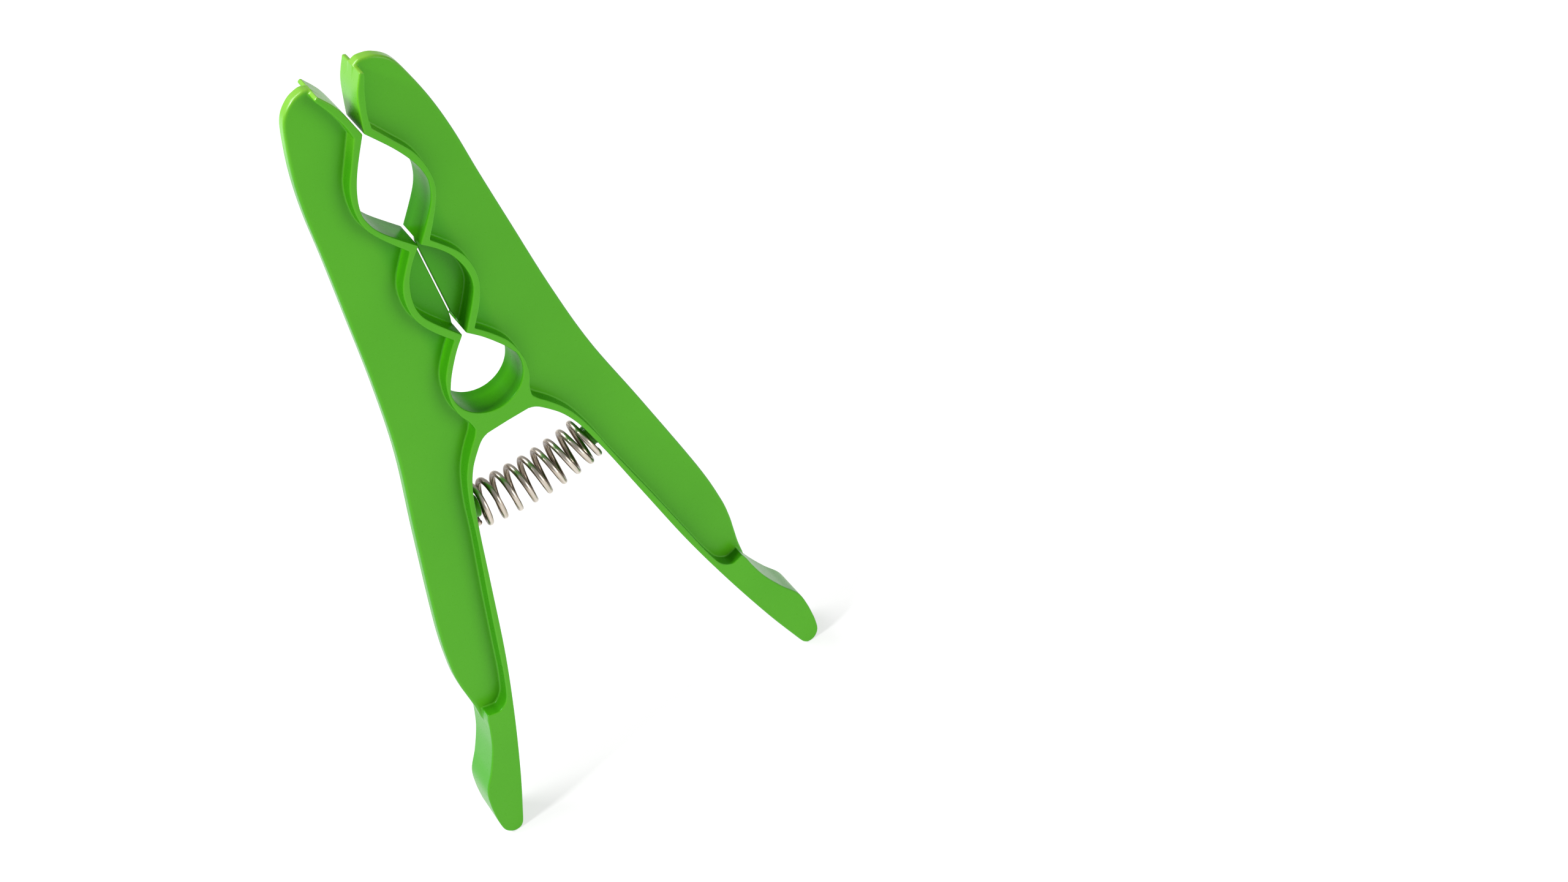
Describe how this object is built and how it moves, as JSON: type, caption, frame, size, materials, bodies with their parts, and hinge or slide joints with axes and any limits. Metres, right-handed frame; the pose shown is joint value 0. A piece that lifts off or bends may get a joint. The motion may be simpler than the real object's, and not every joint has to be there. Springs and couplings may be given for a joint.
{
  "type": "clothespin",
  "caption": "Sprung plastic clothespin with two lobed jaws on a living hinge and a coil spring between its flared handles.",
  "frame": {"origin": "centre of the base, between the two handle tips that it stands on", "axes": "+Z along the length from the handle tips to the jaws, +X the way the right jaw opens, +Y from the front face to the back face"},
  "size_m": [0.0458, 0.0056, 0.1],
  "materials": {
    "green_plastic": "semi-gloss moulded polypropylene, saturated green",
    "spring_steel": "bright nickel-plated spring wire"
  },
  "bodies": {
    "left": {"left_arm": "green_plastic", "hinge_bridge": "green_plastic", "coil_spring": "spring_steel"},
    "right": {"right_arm": "green_plastic"}
  },
  "joints": [
    {"name": "squeeze", "type": "hinge", "parent": "left", "child": "right", "pos_m": [0, 0, 0.0546], "axis": [0, 1, 0], "range_deg": [0, 36], "stiffness_Nm_per_rad": 0.09, "springref_deg": -25.78, "deforming": ["coil_spring"]}
  ]
}
